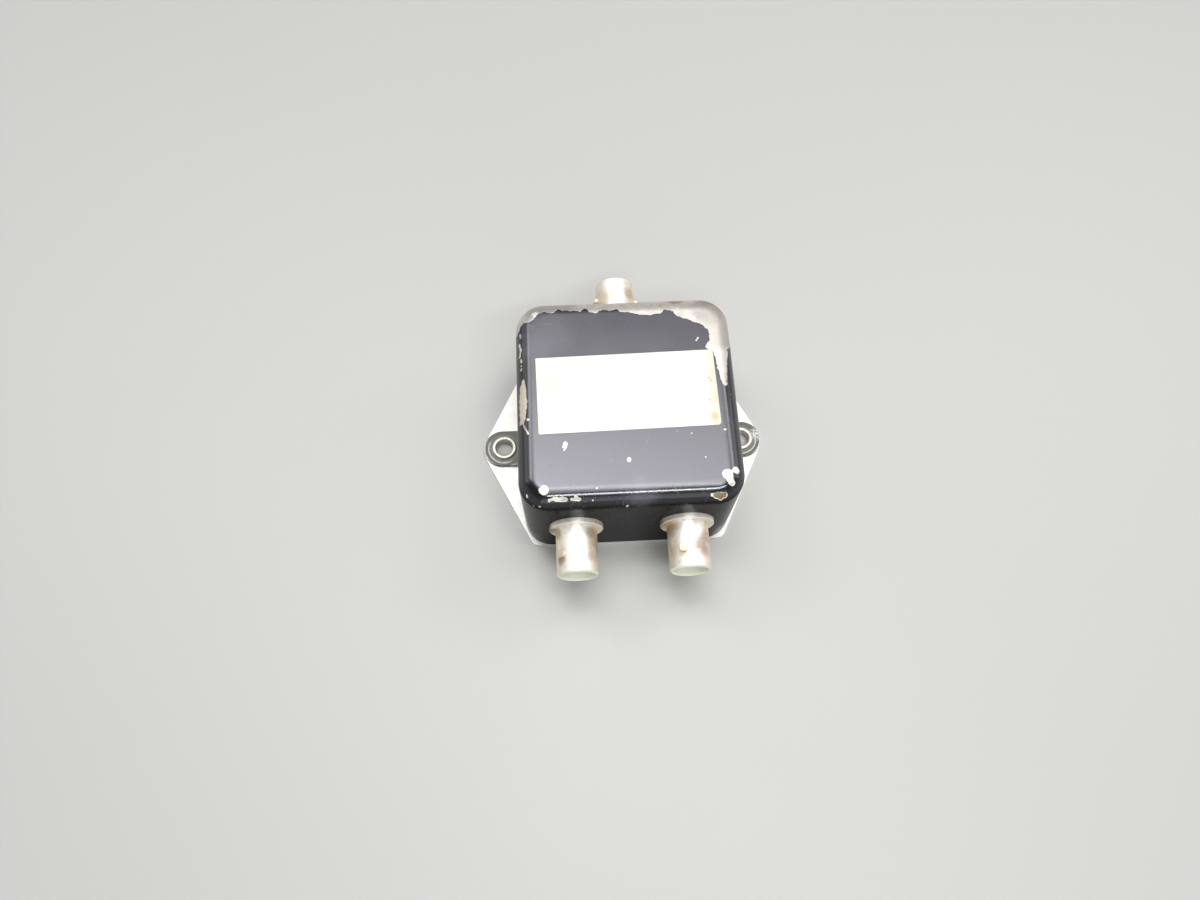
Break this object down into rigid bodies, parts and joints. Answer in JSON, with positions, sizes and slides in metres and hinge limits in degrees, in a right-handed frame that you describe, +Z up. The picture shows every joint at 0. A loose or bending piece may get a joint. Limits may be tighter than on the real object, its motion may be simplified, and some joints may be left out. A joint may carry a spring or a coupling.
{
  "type": "antenna coupler",
  "caption": "Small black-painted metal can with mounting ears on a flat base plate, a blank roof label, and bayonet coaxial jacks on its front and rear walls.",
  "frame": {"origin": "on the floor plane, under the middle of the can, which is also the middle of the base plate", "axes": "+X to the right ear, +Y to the antenna jack at the rear, +Z up out of the roof"},
  "size_m": [0.0714, 0.076, 0.032],
  "materials": {
    "black_paint": "satin",
    "plate_metal": "satin",
    "label_stock": "matte",
    "eyelet_metal": "satin",
    "jack_plating": "satin",
    "jack_insulator": "satin",
    "contact_metal": "satin",
    "washer_steel": "satin",
    "tag_metal": "satin",
    "nut_metal": "satin",
    "tinned_wire": "satin",
    "board_laminate": "satin",
    "solder": "satin",
    "ferrite": "matte",
    "enamelled_wire": "gloss",
    "resistor_body": "satin",
    "capacitor_body": "satin"
  },
  "bodies": {
    "root": {"housing": "black_paint", "base_plate": "plate_metal", "label_plate": "label_stock", "eyelet_left": "eyelet_metal", "eyelet_right": "eyelet_metal", "circuit_board": "board_laminate", "solder_joints": "solder", "transformer_core": "ferrite", "primary_winding": "enamelled_wire", "secondary_winding": "enamelled_wire", "balance_resistor": "resistor_body", "capacitor_left": "capacitor_body", "capacitor_right": "capacitor_body", "antenna_shell": "jack_plating", "antenna_insulator": "jack_insulator", "antenna_contact": "contact_metal", "antenna_lock_washer": "washer_steel", "antenna_earth_tag": "tag_metal", "antenna_nut": "nut_metal", "antenna_lead": "tinned_wire", "receiver_left_shell": "jack_plating", "receiver_left_insulator": "jack_insulator", "receiver_left_contact": "contact_metal", "receiver_left_lock_washer": "washer_steel", "receiver_left_earth_tag": "tag_metal", "receiver_left_nut": "nut_metal", "receiver_left_lead": "tinned_wire", "receiver_right_shell": "jack_plating", "receiver_right_insulator": "jack_insulator", "receiver_right_contact": "contact_metal", "receiver_right_lock_washer": "washer_steel", "receiver_right_earth_tag": "tag_metal", "receiver_right_nut": "nut_metal", "receiver_right_lead": "tinned_wire"}
  },
  "joints": []
}
